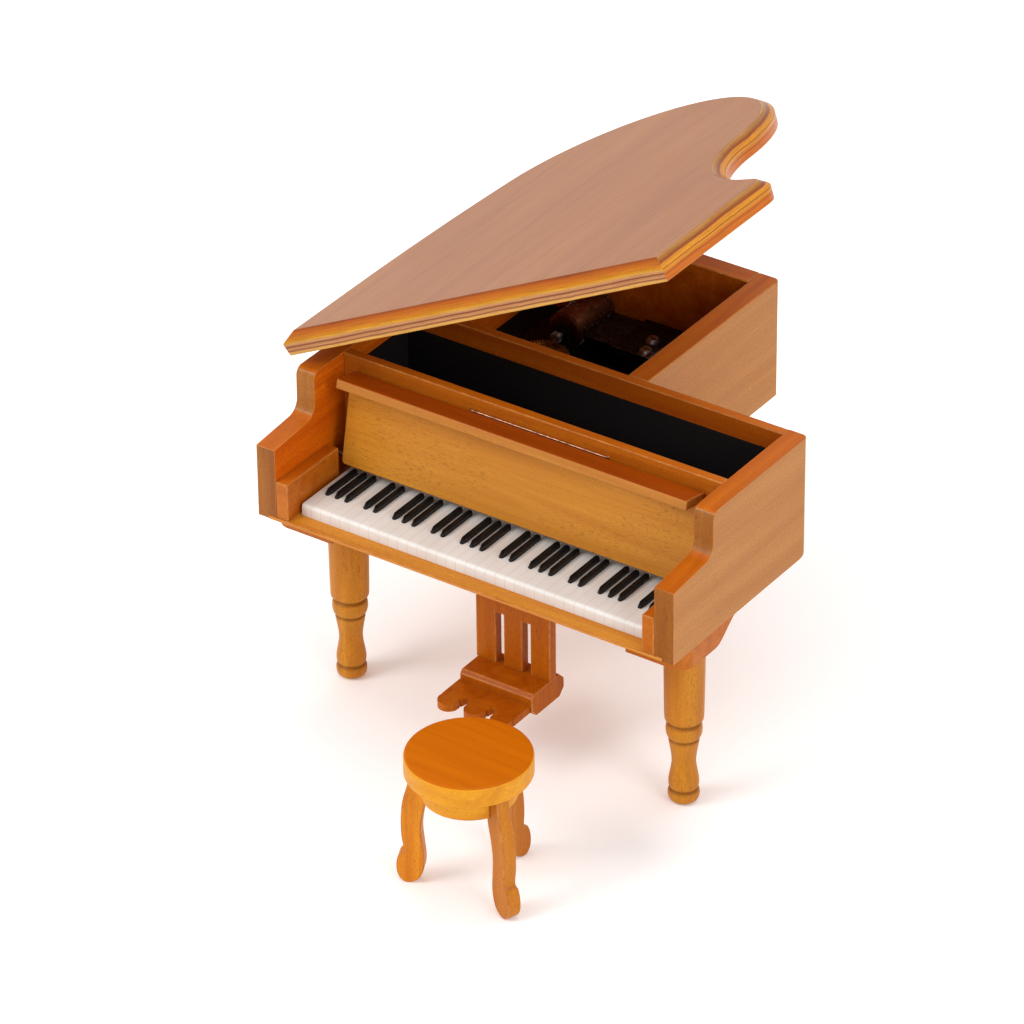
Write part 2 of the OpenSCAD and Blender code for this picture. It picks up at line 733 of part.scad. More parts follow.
module winding_stem() color(steel) place()
    translate([barrel_c[0], barrel_c[1], case_low - 9])
        cylinder(r = stem_r, h = barrel_low + barrel_h + 1.8 - case_low + 9);

module winding_key() color(steel) place() translate([barrel_c[0], barrel_c[1], case_low - 9]) {
    difference() {
        cylinder(r = 2.6, h = 8);
        translate([0, 0, -1]) cylinder(r = stem_r, h = 10);
    }
    for (side = [-1, 1]) difference() {
        translate([side * 6.6, 0.6, 1]) rotate([90, 0, 0]) cylinder(r = 4.6, h = 1.2);
        translate([side * 6.6, 0.6 + eps, 1]) rotate([90, 0, 0]) cylinder(r = 2, h = 1.2 + 2 * eps);
        cylinder(r = 2.2, h = 30, center = true);
    }
}

// ---- stool ----

module at_stool() translate([stool_x, -stool_y, 0]) children();

module stool_seat() color(wood) place() at_stool() translate([0, 0, seat_z - seat_t])
    rotate_extrude() polygon([[0, 0], [seat_r - 0.6, 0], [seat_r, 0.6],
        [seat_r, seat_t - 0.9], [seat_r - 0.3, seat_t - 0.3], [seat_r - 0.9, seat_t],
        [0, seat_t]]);

apron_z = seat_z - seat_t - apron_h;
stool_leg_t = 4.8;

module stool_apron() color(wood) place() at_stool() difference() {
    translate([0, 0, apron_z]) cylinder(r = apron_r, h = apron_h);
    for (leg = stool_legs) rotate(leg[0])
        translate([13, -stool_leg_t / 2, apron_z - 1]) cube([5, stool_leg_t, apron_h + 2]);
}

// A flat leg whose outline leans outwards towards the floor
module stool_leg(leg) color(wood) place() at_stool() rotate(leg[0])
    translate([0, stool_leg_t / 2, 0]) rotate([90, 0, 0]) linear_extrude(stool_leg_t) {
        p = [for (q = stool_leg_outline)
            [q[0] + leg[1] * max(0, 1 - q[1] / apron_z), q[1]]];
        n = len(p);
        polygon(concat([p[0]], smooth(p, 1, n - 3, 4), [p[n - 2], p[n - 1]]));
    }

module stool_leg_back() stool_leg(stool_legs[0]);
module stool_leg_left() stool_leg(stool_legs[1]);
module stool_leg_right() stool_leg(stool_legs[2]);

left_side();
right_side();
front_rail();
divider();
tail_side();
back_wall();
bottom_board();
tray_lining();
movement_board();
bay_lining();
left_key_block();
right_key_block();
white_keys();
black_keys();
key_cover_panel();
key_cover_ledge();
key_cover_pins();
rest_wire();
lid_board();
lid_hinge_leaves();
case_hinge_leaves();
hinge_pins();
lid_hinge_screws();
case_hinge_screws();
front_left_block();
front_right_block();
rear_block();
front_left_leg();
front_right_leg();
rear_leg();
lyre_plate();
lyre_base();
pedal_plate();
movement_bedplate();
pinned_cylinder();
cylinder_arbor();
comb();
comb_screws();
spring_barrel();
governor_wheel();
governor_bracket();
air_brake();
winding_stem();
winding_key();
stool_seat();
stool_apron();
stool_leg_left();
stool_leg_right();
stool_leg_back();
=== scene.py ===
import json
import math
import random

import bmesh
import bpy
from mathutils import Matrix, Vector

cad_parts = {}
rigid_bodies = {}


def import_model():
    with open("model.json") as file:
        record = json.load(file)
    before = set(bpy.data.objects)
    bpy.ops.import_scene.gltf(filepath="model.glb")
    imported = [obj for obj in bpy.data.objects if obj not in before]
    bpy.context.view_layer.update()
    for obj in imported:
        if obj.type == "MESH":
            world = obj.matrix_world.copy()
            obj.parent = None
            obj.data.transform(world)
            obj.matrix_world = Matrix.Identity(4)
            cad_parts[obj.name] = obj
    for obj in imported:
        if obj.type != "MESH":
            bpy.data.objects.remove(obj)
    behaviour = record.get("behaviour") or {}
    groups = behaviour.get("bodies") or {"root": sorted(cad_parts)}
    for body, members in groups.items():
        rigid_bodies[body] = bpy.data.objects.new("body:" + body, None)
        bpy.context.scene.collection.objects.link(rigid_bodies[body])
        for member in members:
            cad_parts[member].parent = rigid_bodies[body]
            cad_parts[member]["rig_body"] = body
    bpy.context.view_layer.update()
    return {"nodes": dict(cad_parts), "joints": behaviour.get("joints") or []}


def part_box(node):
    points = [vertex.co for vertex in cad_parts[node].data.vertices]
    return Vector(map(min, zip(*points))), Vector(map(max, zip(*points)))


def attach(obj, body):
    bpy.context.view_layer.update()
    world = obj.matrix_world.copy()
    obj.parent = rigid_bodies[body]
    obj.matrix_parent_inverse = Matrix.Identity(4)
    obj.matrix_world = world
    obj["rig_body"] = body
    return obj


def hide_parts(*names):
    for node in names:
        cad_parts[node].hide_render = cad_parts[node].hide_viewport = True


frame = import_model()
MM = 0.001
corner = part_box("left_side")[0]
RNG = random.Random(7)


def at(x, y, z):
    """A point in the frame, from case coordinates: mm from the left side's front bottom corner, with the
    height from the floor."""
    return Vector((corner.x + x * MM, corner.y + y * MM, z * MM))


# ---------------------------------------------------------------- materials


class Net:
    """Short calls for building one material's nodes."""

    def __init__(self, name):
        self.mat = bpy.data.materials.new(name)
        self.mat.use_nodes = True
        self.tree = self.mat.node_tree
        self.tree.nodes.clear()
        self.out = self.add("ShaderNodeOutputMaterial")
        self.bsdf = self.add("ShaderNodeBsdfPrincipled")
        self.link(self.bsdf.outputs[0], self.out.inputs[0])
        self.object = self.add("ShaderNodeTexCoord").outputs["Object"]

    def add(self, kind, **values):
        node = self.tree.nodes.new(kind)
        for key, value in values.items():
            setattr(node, key, value)
        return node

    def link(self, a, b):
        self.tree.links.new(a, b)

    def math(self, op, a, b=0.0):
        node = self.add("ShaderNodeMath", operation=op)
        for socket, value in zip(node.inputs, (a, b)):
            if isinstance(value, (int, float)):
                socket.default_value = value
            else:
                self.link(value, socket)
        return node.outputs[0]

    def place(self, scale, offset=(0, 0, 0), turn=(0, 0, 0)):
        node = self.add("ShaderNodeMapping")
        node.inputs["Location"].default_value = offset
        node.inputs["Rotation"].default_value = turn
        node.inputs["Scale"].default_value = scale
        self.link(self.object, node.inputs["Vector"])
        return node.outputs[0]

    def noise(self, vector, detail=3.0, rough=0.55, distort=0.0):
        node = self.add("ShaderNodeTexNoise")
        self.link(vector, node.inputs["Vector"])
        node.inputs["Scale"].default_value = 1.0
        node.inputs["Detail"].default_value = detail
        node.inputs["Roughness"].default_value = rough
        node.inputs["Distortion"].default_value = distort
        return node.outputs["Fac"]

    def ramp(self, value, stops):
        """stops holds (position, red, green, blue), with the colours as on a screen."""
        node = self.add("ShaderNodeValToRGB")
        bar = node.color_ramp
        while len(bar.elements) < len(stops):
            bar.elements.new(0.5)
        for element, (where, *colour) in zip(bar.elements, stops):
            element.position = where
            element.color = (*srgb(*colour), 1)
        self.link(value, node.inputs[0])
        return node.outputs[0]

    def level(self, value, low, high, a=0.0, b=1.0):
        node = self.add("ShaderNodeMapRange")
        for socket, number in zip(node.inputs[1:5], (low, high, a, b)):
            socket.default_value = number
        self.link(value, node.inputs[0])
        return node.outputs[0]

    def mix(self, factor, a, b):
        node = self.add("ShaderNodeMix", data_type="RGBA")
        for socket, value in ((node.inputs[0], factor), (node.inputs[6], a), (node.inputs[7], b)):
            if isinstance(value, (int, float)):
                socket.default_value = value
            elif isinstance(value, tuple):
                socket.default_value = (*value, 1)
            else:
                self.link(value, socket)
        return node.outputs[2]

    def axis(self, letter):
        node = self.add("ShaderNodeSeparateXYZ")
        self.link(self.object, node.inputs[0])
        return node.outputs["XYZ".index(letter)]

    def bump(self, height, strength, distance):
        node = self.add("ShaderNodeBump")
        node.inputs["Strength"].default_value = strength
        node.inputs["Distance"].default_value = distance
        self.link(height, node.inputs["Height"])
        self.link(node.outputs[0], self.bsdf.inputs["Normal"])

    def base(self, colour):
        self.link(colour, self.bsdf.inputs["Base Color"])

    def rough(self, value):
        self.link(value, self.bsdf.inputs["Roughness"])

    def set(self, **values):
        for key, value in values.items():
            self.bsdf.inputs[key.replace("_", " ")].default_value = value
        return self


def srgb(r, g, b):
    def one(c):
        c /= 255
        return c / 12.92 if c <= 0.04045 else ((c + 0.055) / 1.055) ** 2.4
    return one(r), one(g), one(b)


def tint(colour, k):
    return tuple(min(1.0, c * k) for c in colour)


def stretch(along, across, lengthwise):
    return tuple(lengthwise if "XYZ"[i] == along else across for i in range(3))


def wood_colour(net, light, dark, along, seed, fleck, speckle, lines=0.0, turn=(0, 0, 0)):
    """Lacquered wood seen from near: slow tone changes, figure, fibres, dark flecks and stain specks."""
    shift = (seed * 1.7, seed * 2.3, seed * 3.1)

    def field(across, lengthwise, detail=3.0, rough=0.55, distort=0.0):
        return net.noise(net.place(stretch(along, across, lengthwise), shift, turn), detail, rough, distort)

    tone = net.level(field(26, 9, 2), 0.3, 0.7)
    figure = field(150, 9, 4, 0.6, 0.6)
    fibre = field(1500, 60, 3)
    colour = net.mix(net.level(figure, 0.32, 0.68), dark, light)
    colour = net.mix(net.math("MULTIPLY", tone, 0.35), colour, tint(dark, 0.9))
    if lines:
        wave = net.add("ShaderNodeTexWave", bands_direction="DIAGONAL", wave_profile="SAW")
        net.link(net.place(stretch(along, 120, 7), shift, turn), wave.inputs["Vector"])
        wave.inputs["Scale"].default_value = 1.0
        wave.inputs["Distortion"].default_value = 5.0
        wave.inputs["Detail"].default_value = 2.0
        wave.inputs["Detail Scale"].default_value = 0.8
        ring = net.level(wave.outputs["Fac"], 0.7, 1.0)
        colour = net.mix(net.math("MULTIPLY", ring, lines), colour, tint(dark, 0.72))
    colour = net.mix(net.level(fibre, 0.25, 0.75, 0.18, -0.0), colour, tint(dark, 0.6))
    if fleck:
        marks = net.level(field(2300, 480, 2, 0.5), 0.57, 0.68)
        gate = net.level(field(60, 30, 1), 0.36, 0.56)
        marks = net.math("MULTIPLY", net.math("MULTIPLY", marks, gate), fleck)
        colour = net.mix(marks, colour, tint(dark, 0.5))
    if speckle:
        specks = net.noise(net.place((2600, 2600, 2600), shift), 2, 0.6)
        specks = net.math("MULTIPLY", net.level(specks, 0.42, 0.62), speckle)
        colour = net.mix(specks, colour, tint(dark, 0.62))
    return colour, fibre


def wood(name, light, dark, along, seed, fleck, speckle, lines=0.0, coat=0.08, rough=0.42, shine=0.18,
         groove_shade_heights=()):
    """grooves lists heights in mm of turned grooves painted darker: painted shade in each groove, with stain
    gathered there.
    """
    net = Net(name)
    colour, fibre = wood_colour(net, light, dark, along, seed, fleck, speckle, lines)
    # Painted shade: a darker band round each groove height, with stain gathered in the groove.
    for height in groove_shade_heights:
        away = net.math("ABSOLUTE", net.math("SUBTRACT", net.axis("Z"), height * MM))
        colour = net.mix(net.level(away, 0.0002, 0.0012, 0.65, 0.0), colour, tint(dark, 0.4))
    net.base(colour)
    net.rough(net.level(fibre, 0.3, 0.7, rough, rough + 0.1))
    skin = net.noise(net.place((900, 900, 900)), 2, 0.5)
    net.bump(net.math("ADD", net.math("MULTIPLY", fibre, 0.5), skin), 0.25, 0.00012)
    net.set(Coat_Weight=coat, Coat_Roughness=0.2, Specular_IOR_Level=shine)
    return net.mat


def ply(name, layers, seed):
    """Plywood: the face veneer on both faces, and the cut layers on the edges, by height in the board."""
    net = Net(name)
    face, fibre = wood_colour(net, VENEER, VENEER_DARK, "Y", seed, 0.05, 0.12, 0.12, (0, 0, 0.3))
    height = net.axis("Z")
    wobble = net.level(net.noise(net.place((70, 70, 30)), 3, 0.6), 0.3, 0.7, -0.00014, 0.00014)
    height = net.math("DIVIDE", net.math("ADD", height, wobble), LID_T * MM)
    cut = net.ramp(height, layers)
    streak = net.noise(net.place((70, 70, 5200), (seed, 0, 0)), 3, 0.6)
    cut = net.mix(net.level(streak, 0.4, 0.7, 0, 0.5), cut, srgb(112, 56, 16))
    pores = net.noise(net.place((1300, 1300, 1300), (seed, 1, 0)), 2)
    cut = net.mix(net.level(pores, 0.55, 0.75, 0, 0.25), cut, srgb(90, 40, 10))
    over = net.level(net.axis("Z"), 0.04 * MM, 0.12 * MM)
    under = net.level(net.axis("Z"), (LID_T - 0.08) * MM, (LID_T - 0.02) * MM, 1, 0)
    net.base(net.mix(net.math("MULTIPLY", over, under), face, cut))
    net.rough(net.level(fibre, 0.3, 0.7, 0.32, 0.4))
    net.bump(fibre, 0.15, 0.0001)
    net.set(Coat_Weight=0.08, Coat_Roughness=0.25, Specular_IOR_Level=0.15)
    return net.mat


def flock(name):
    net = Net(name)
    nap = net.noise(net.place((2400, 2400, 2400)), 3, 0.7)
    net.base(net.mix(nap, srgb(14, 12, 13), srgb(38, 33, 34)))
    net.rough(net.level(nap, 0, 1, 0.85, 1.0))
    net.bump(nap, 0.6, 0.0002)
    net.set(Specular_IOR_Level=0.05)
    return net.mat


def metal(name, colour, dark, rough=0.3, brush="X", scratch=0.5, bump=0.2):
    net = Net(name)
    lines = net.noise(net.place(stretch(brush, 5200, 300)), 3, 0.6)
    stain = net.noise(net.place((420, 420, 420)), 3, 0.6)
    tone = net.mix(net.level(stain, 0.35, 0.7), colour, dark)
    net.base(net.mix(net.math("MULTIPLY", net.level(lines, 0.4, 0.7), scratch), tone, dark))
    net.rough(net.level(stain, 0.3, 0.7, rough, rough + 0.18))
    net.bump(lines, bump, 0.00003)
    net.set(Metallic=1.0)
    return net.mat


def plastic(name, light, dark, rough, scale):
    net = Net(name)
    cloud = net.noise(net.place((scale, scale, scale)), 3, 0.6)
    net.base(net.mix(net.level(cloud, 0.3, 0.7), light, dark))
    net.rough(net.level(cloud, 0.3, 0.7, rough, rough + 0.12))
    net.bump(cloud, 0.2, 0.00006)
    net.set(Coat_Weight=0.04, Coat_Roughness=0.3, Specular_IOR_Level=0.22)
    return net.mat


# The lid's thickness in mm
LID_T = 7.5
VENEER = srgb(172, 108, 50)
VENEER_DARK = srgb(156, 90, 38)
ORANGE = srgb(208, 112, 8)
ORANGE_DARK = srgb(176, 82, 2)
SIDE = wood("wood_side", srgb(198, 134, 66), srgb(178, 112, 48), "Y", 1, 0.25, 0.7)
RAIL = wood("wood_rail", srgb(204, 118, 20), srgb(172, 84, 8), "X", 2, 0.4, 0.4)
# Tops of the boards: darker, richer orange, edge-grain stain together with painted shade on faces that look up.
SHADED_TOP_Y = wood("wood_top_y_painted_shade", ORANGE, ORANGE_DARK, "Y", 3, 0.2, 0.25)
SHADED_TOP_X = wood("wood_top_x_painted_shade", ORANGE, ORANGE_DARK, "X", 4, 0.2, 0.25)
INSIDE = wood("wood_inside", srgb(206, 108, 12), srgb(160, 66, 4), "Y", 5, 0.3, 0.45)
# The left cheek's inner face: the inner wood made lighter, painted light where the lamps fall on it.
LIT_CHEEK = wood("wood_cheek_painted_light", srgb(234, 118, 6), srgb(192, 78, 2), "Y", 5, 0.3, 0.45)
DIVIDER = wood("wood_divider", srgb(194, 100, 12), srgb(164, 72, 5), "X", 18, 0.3, 0.4)
ARM_FRONT = wood("wood_arm_front", srgb(184, 116, 36), srgb(140, 76, 18), "Z", 6, 0.6, 0.4)
# Rounded edges are lighter: worn stain together with a painted highlight along each edge.
EDGE_WEAR_AND_HIGHLIGHT = wood("wood_edge_wear_and_highlight", srgb(222, 150, 74), srgb(180, 100, 34), "Y", 7, 0.3, 0.6)
COVER = wood("wood_cover", srgb(210, 142, 42), srgb(188, 116, 26), "X", 8, 0.6, 0.3, 0.1)
LEDGE = wood("wood_ledge", srgb(198, 132, 50), srgb(176, 104, 30), "X", 9, 0.4, 0.3)
# The ledge's top: painted shade, darker than the ledge's front.
SHADED_LEDGE_TOP = wood("wood_ledge_top_painted_shade", srgb(182, 84, 2), srgb(152, 60, 1), "X", 19, 0.2, 0.25, shine=0.1)
# The legs' grooves get darker bands: painted shade in the grooves, with stain gathered there.
LEG = wood("wood_leg", srgb(218, 146, 34), srgb(180, 104, 12), "Z", 10, 0.6, 0.4,
           groove_shade_heights=(4.7, 24.1, 30.1))
LYRE = wood("wood_lyre", srgb(194, 106, 10), srgb(162, 74, 2), "Z", 11, 0.4, 0.4, shine=0.08)
# One seat wood in two copies: painted shade on the darker top, painted light on the brighter side and apron.
SHADED_SEAT_TOP = wood("wood_seat_top_painted_shade", srgb(206, 110, 0), srgb(190, 94, 0), "X", 12, 0.1, 0.1, 0.25, 0.02,
                shine=0.06)
LIT_SEAT_SIDE = wood("wood_seat_side_painted_light", srgb(236, 166, 24), srgb(212, 132, 10), "X", 13, 0.3, 0.3)
BARE = wood("wood_bare", srgb(150, 96, 50), srgb(112, 64, 30), "X", 14, 0.4, 0.4, 0, 0.0, 0.6)
BOARD = wood("wood_board", srgb(222, 150, 44), srgb(190, 106, 20), "X", 15, 0.4, 0.3)
# Two copies of the stool legs' wood: painted shade for the right and back legs, painted light for the left leg.
STOOL_LEG_SHADE = wood("wood_stool_leg_shade", srgb(212, 134, 26), srgb(180, 98, 10), "Z", 20, 0.4, 0.35)
LIT_STOOL_LEG = wood("wood_stool_leg", srgb(236, 154, 20), srgb(204, 114, 8), "Z", 17, 0.4, 0.35)
LID = ply("wood_lid", [
    (0.0, 196, 138, 50), (0.1, 216, 164, 78), (0.15, 194, 138, 70), (0.18, 130, 72, 38),
    (0.21, 140, 82, 48), (0.24, 190, 132, 78), (0.34, 182, 122, 72), (0.38, 112, 56, 36),
    (0.41, 122, 66, 44), (0.45, 186, 128, 74), (0.55, 198, 142, 80), (0.6, 204, 146, 26),
    (0.66, 192, 120, 6), (0.8, 184, 98, 2), (0.92, 166, 78, 1), (1.0, 124, 48, 1)], 16)
LID_SIDE = ply("wood_lid_side", [
    (0.0, 210, 132, 24), (0.1, 196, 94, 8), (0.24, 204, 112, 12), (0.34, 182, 80, 8),
    (0.42, 206, 122, 22), (0.54, 214, 144, 40), (0.58, 152, 84, 22), (0.62, 214, 140, 30),
    (0.74, 206, 130, 24), (0.78, 136, 64, 18), (0.84, 144, 74, 24), (0.88, 164, 106, 40),
    (0.95, 172, 118, 52), (1.0, 188, 140, 76)], 23)
FLOCK = flock("black_flock")
BLACK = plastic("black_key", srgb(20, 18, 18), srgb(12, 11, 11), 0.38, 900)
BRASS = metal("brass", srgb(214, 178, 110), srgb(150, 112, 58), 0.28)
# The cylinder's bronze is darkened: painted shade of the rear bay.
SHADED_BRONZE = metal("cylinder_bronze_painted_shade", srgb(132, 84, 56), srgb(72, 40, 24), 0.34, "Y")
STEEL = metal("steel", srgb(190, 190, 194), srgb(110, 108, 108), 0.25)
# The comb's steel is darkened nearly to black: painted shade of the rear bay.
SHADED_COMB = metal("comb_steel", srgb(58, 50, 48), srgb(24, 20, 20), 0.42, "X")
IRON = metal("bedplate_grey", srgb(52, 48, 47), srgb(26, 23, 23), 0.5, "X", 0.3, 0.4)
WIRE = metal("wire_coppered", srgb(200, 150, 120), srgb(130, 86, 64), 0.3)


def key_white():
    net = Net("white_key")
    cloud = net.noise(net.place((90, 40, 90)), 3, 0.6)
    colour = net.mix(net.level(cloud, 0.35, 0.7), srgb(228, 224, 218), srgb(218, 211, 204))
    across = net.math("DIVIDE", net.math("SUBTRACT", net.axis("X"), keys_left), key_pitch)
    near = net.math("ABSOLUTE", net.math("SUBTRACT", net.math("FRACT", net.math("ADD", across, 0.5)), 0.5))
    line = net.level(near, 0.0, 0.045, 1.0, 0.0)
    soft = net.level(near, 0.03, 0.16, 0.35, 0.0)
    streak = net.noise(net.place((900, 30, 30)), 3, 0.6)
    colour = net.mix(net.math("MULTIPLY", line, 0.5), colour, srgb(196, 166, 152))
    soft = net.math("MULTIPLY", soft, net.level(streak, 0.35, 0.7, 0, 0.7))
    colour = net.mix(soft, colour, srgb(222, 200, 188))
    colour = net.mix(net.level(streak, 0.5, 0.8, 0, 0.18), colour, srgb(226, 206, 196))
    net.base(colour)
    net.rough(net.level(cloud, 0.3, 0.7, 0.5, 0.6))
    net.bump(streak, 0.08, 0.00006)
    net.set(Coat_Weight=0.06, Coat_Roughness=0.3, Specular_IOR_Level=0.25)
    return net.mat


key_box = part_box("white_keys")
keys_left = key_box[0].x
WHITE_COUNT = 36
key_pitch = 3.78 * MM
WHITE = key_white()

# ---------------------------------------------------------------- mesh helpers


def new_piece(name, bm, mats, body, stands_for, matrix=None, soft_angle=38):
    """Turns a bmesh into a smooth-shaded piece on a body."""
    for f in bm.faces:
        f.smooth = True
    for e in bm.edges:
        if len(e.link_faces) == 2 and e.calc_face_angle(0) > math.radians(soft_angle):
            e.smooth = False
    mesh = bpy.data.meshes.new(name)
    bm.to_mesh(mesh)
    bm.free()
    for m in mats:
        mesh.materials.append(m)
    ob = bpy.data.objects.new(name, mesh)
    bpy.context.scene.collection.objects.link(ob)
    if matrix is not None:
        ob.matrix_world = matrix
    even = ob.modifiers.new("even", "WEIGHTED_NORMAL")
    even.keep_sharp = True
    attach(ob, body)
    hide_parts(*stands_for)
    return ob


def body_of_node(node):
    return frame["nodes"][node]["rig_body"]


def refine(node, mats, width, top=None, segments=3, pick=None):
    """The CAD node's own shape with rounded edges. mats are for the faces and the rounded edges, top is for
    faces that look up, and pick is a list of (direction, material) for faces that look another way."""
    bm = bmesh.new()
    bm.from_mesh(frame["nodes"][node].data)
    bmesh.ops.remove_doubles(bm, verts=bm.verts, dist=2e-6)
    bmesh.ops.dissolve_limit(bm, angle_limit=math.radians(0.6), verts=bm.verts, edges=bm.edges)
    mats = list(mats)
    looks = ([(Vector((0, 0, 1)), top)] if top else []) + [(Vector(d), m) for d, m in (pick or [])]
    for f in bm.faces:
        f.material_index = 0
    for direction, m in looks:
        mats.append(m)
        for f in bm.faces:
            if f.normal.dot(direction) > 0.72:
                f.material_index = len(mats) - 1
    sharp = [e for e in bm.edges if len(e.link_faces) == 2 and e.calc_face_angle(0) > math.radians(32)]
    bmesh.ops.bevel(bm, geom=sharp, offset=width * MM, offset_type="OFFSET", segments=segments, profile=0.5,
                    affect="EDGES", clamp_overlap=True, material=1 if len(mats) > 1 else -1)
    return new_piece("fine_" + node, bm, mats, body_of_node(node), [node])


def smooth_path(points, steps):
    """A smooth line through points (2D or 3D)."""
    pts = [Vector(p) for p in points]
    pts = [pts[0] * 2 - pts[1]] + pts + [pts[-1] * 2 - pts[-2]]
    out = []
    for i in range(1, len(pts) - 2):
        a, b, c, d = pts[i - 1:i + 3]
        for k in range(steps):
            t = k / steps
            square, cubic = 2 * a - 5 * b + 4 * c - d, 3 * b - a - 3 * c + d
            out.append(0.5 * (2 * b + (c - a) * t + square * t * t + cubic * t ** 3))
    return out + [pts[-2]]


def lathe(bm, profile, matrix, sides=64, material=0):
    """Turns a list of (height, radius) in mm about the matrix's Z axis; both ends close on the axis."""
    rings = []
    for h, r in profile:
        if r < 1e-6:
            rings.append([bm.verts.new(matrix @ Vector((0, 0, h * MM)))])
        else:
            rings.append([bm.verts.new(matrix @ Vector((r * MM * math.cos(2 * math.pi * i / sides),
                         r * MM * math.sin(2 * math.pi * i / sides), h * MM))) for i in range(sides)])
    for low, high in zip(rings, rings[1:]):
        for i in range(sides):
            j = (i + 1) % sides
            quad = [low[i % len(low)], low[j % len(low)], high[j % len(high)], high[i % len(high)]]
            quad = [v for k, v in enumerate(quad) if v not in quad[:k]]
            if len(quad) > 2:
                bm.faces.new(quad).material_index = material


def loft(bm, rings):
    """Joins closed rings of points with quads and closes both ends."""
    rows = [[bm.verts.new(p) for p in ring] for ring in rings]
    n = len(rows[0])
    for low, high in zip(rows, rows[1:]):
        for i in range(n):
            bm.faces.new([low[i], low[(i + 1) % n], high[(i + 1) % n], high[i]])
    bm.faces.new(rows[0][::-1])
    bm.faces.new(rows[-1])


# ---------------------------------------------------------------- case

FRONT, RIGHT, LEFT = (0, -1, 0), (1, 0, 0), (-1, 0, 0)
# Faces that look up, the left cheek's inner face and the rounded edges get lit and shaded copies of the wood:
# painted light and shade.
refine("left_side", (SIDE, EDGE_WEAR_AND_HIGHLIGHT), 0.7, SHADED_TOP_Y, pick=[(RIGHT, LIT_CHEEK), (FRONT, ARM_FRONT)])
refine("right_side", (SIDE, EDGE_WEAR_AND_HIGHLIGHT), 0.7, SHADED_TOP_Y, pick=[(LEFT, INSIDE), (FRONT, ARM_FRONT)])
refine("tail_side", (SIDE, EDGE_WEAR_AND_HIGHLIGHT), 0.5, SHADED_TOP_Y, pick=[(LEFT, INSIDE)])
refine("back_wall", (SIDE, EDGE_WEAR_AND_HIGHLIGHT), 0.4, SHADED_TOP_X, pick=[(FRONT, INSIDE)])
refine("front_rail", (RAIL, EDGE_WEAR_AND_HIGHLIGHT), 0.35, SHADED_TOP_X)
refine("divider", (DIVIDER, EDGE_WEAR_AND_HIGHLIGHT), 0.35, SHADED_TOP_X)
refine("bottom_board", (BOARD, EDGE_WEAR_AND_HIGHLIGHT), 0.3)
refine("left_key_block", (RAIL, EDGE_WEAR_AND_HIGHLIGHT), 0.5, SHADED_TOP_Y)
refine("right_key_block", (RAIL, EDGE_WEAR_AND_HIGHLIGHT), 0.5, SHADED_TOP_Y)
for node in ("front_left_block", "front_right_block", "rear_block"):
    refine(node, (RAIL, EDGE_WEAR_AND_HIGHLIGHT), 0.5)
refine("key_cover_panel", (COVER, EDGE_WEAR_AND_HIGHLIGHT), 0.5)
refine("key_cover_ledge", (LEDGE, EDGE_WEAR_AND_HIGHLIGHT), 0.35, SHADED_LEDGE_TOP)
refine("lyre_plate", (LYRE, EDGE_WEAR_AND_HIGHLIGHT), 0.4)
refine("lyre_base", (LYRE, EDGE_WEAR_AND_HIGHLIGHT), 0.5)
refine("pedal_plate", (LYRE, EDGE_WEAR_AND_HIGHLIGHT), 0.45)

# ---------------------------------------------------------------- keys


def white_keys():
    low, high = key_box
    front, back = low.y, high.y
    foot, top = low.z, high.z
    lip = 1.25 * MM
    section = [(front, foot)]
    section += [(front + lip - lip * math.cos(a), top - lip + lip * math.sin(a))
                for a in (math.radians(x) for x in range(0, 91, 10))]
    section += [(front + (back - front) * t, top) for t in (0.3, 0.6, 1.0)] + [(back, foot)]
    columns = [(low.x, 0), (low.x + 0.2 * MM, 1)]
    for i in range(1, WHITE_COUNT):
        x = low.x + i * key_pitch
        columns += [(x - 0.16 * MM, 1), (x, 2), (x + 0.16 * MM, 1)]
    columns += [(high.x - 0.2 * MM, 1), (high.x, 0)]
    sink = {0: 0.15 * MM, 1: 0.0, 2: 0.04 * MM}
    bm = bmesh.new()
    rows = []
    for x, kind in columns:
        d = sink[kind]
        ring = []
        for k, (y, z) in enumerate(section):
            if k == 0:
                ring.append(Vector((x, y + d, z)))
            elif k == len(section) - 1:
                ring.append(Vector((x, y, z)))
            else:
                ahead = max(0.0, 1 - (y - front) / lip)
                ring.append(Vector((x, y + d * ahead, z - d * (1 - ahead))))
        rows.append(ring)
    loft(bm, rows)
    bmesh.ops.recalc_face_normals(bm, faces=bm.faces)
    return new_piece("white_key_slab", bm, [WHITE], "case", ["white_keys"])


def black_keys():
    low, high = key_box
    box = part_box("black_keys")
    front, back = box[0].y, box[1].y
    length = (back - front) / MM
    bm = bmesh.new()
    for i in range(1, WHITE_COUNT):
        if i % 7 in (0, 4):
            continue
        x = low.x + i * key_pitch

        def ring(half, nose, start, end, nose_z, back_z):
            plan = [(-half, start + 1.9), (-nose - 0.08, start + 0.5), (-nose, start + 0.12), (0, start),
                    (nose, start + 0.12), (nose + 0.08, start + 0.5), (half, start + 1.9), (half, end - 1.0),
                    (half * 0.85, end - 0.4), (half * 0.4, end - 0.06), (-half * 0.4, end - 0.06),
                    (-half * 0.85, end - 0.4), (-half, end - 1.0)]
            heights = [nose_z if py < start + 1 else back_z for _, py in plan]
            return [Vector((x + px * MM, front + py * MM, high.z + h * MM))
                    for (px, py), h in zip(plan, heights)]

        loft(bm, [ring(0.92, 0.6, 0, length, -0.3, -0.3), ring(0.92, 0.6, 0, length, 0.62, 1.35),
                  ring(0.84, 0.5, 0.1, length - 0.08, 0.78, 1.55),
                  ring(0.68, 0.4, 0.35, length - 0.25, 0.95, 1.68)])
    bmesh.ops.recalc_face_normals(bm, faces=bm.faces)
    return new_piece("black_key_set", bm, [BLACK], "case", ["black_keys"], soft_angle=20)


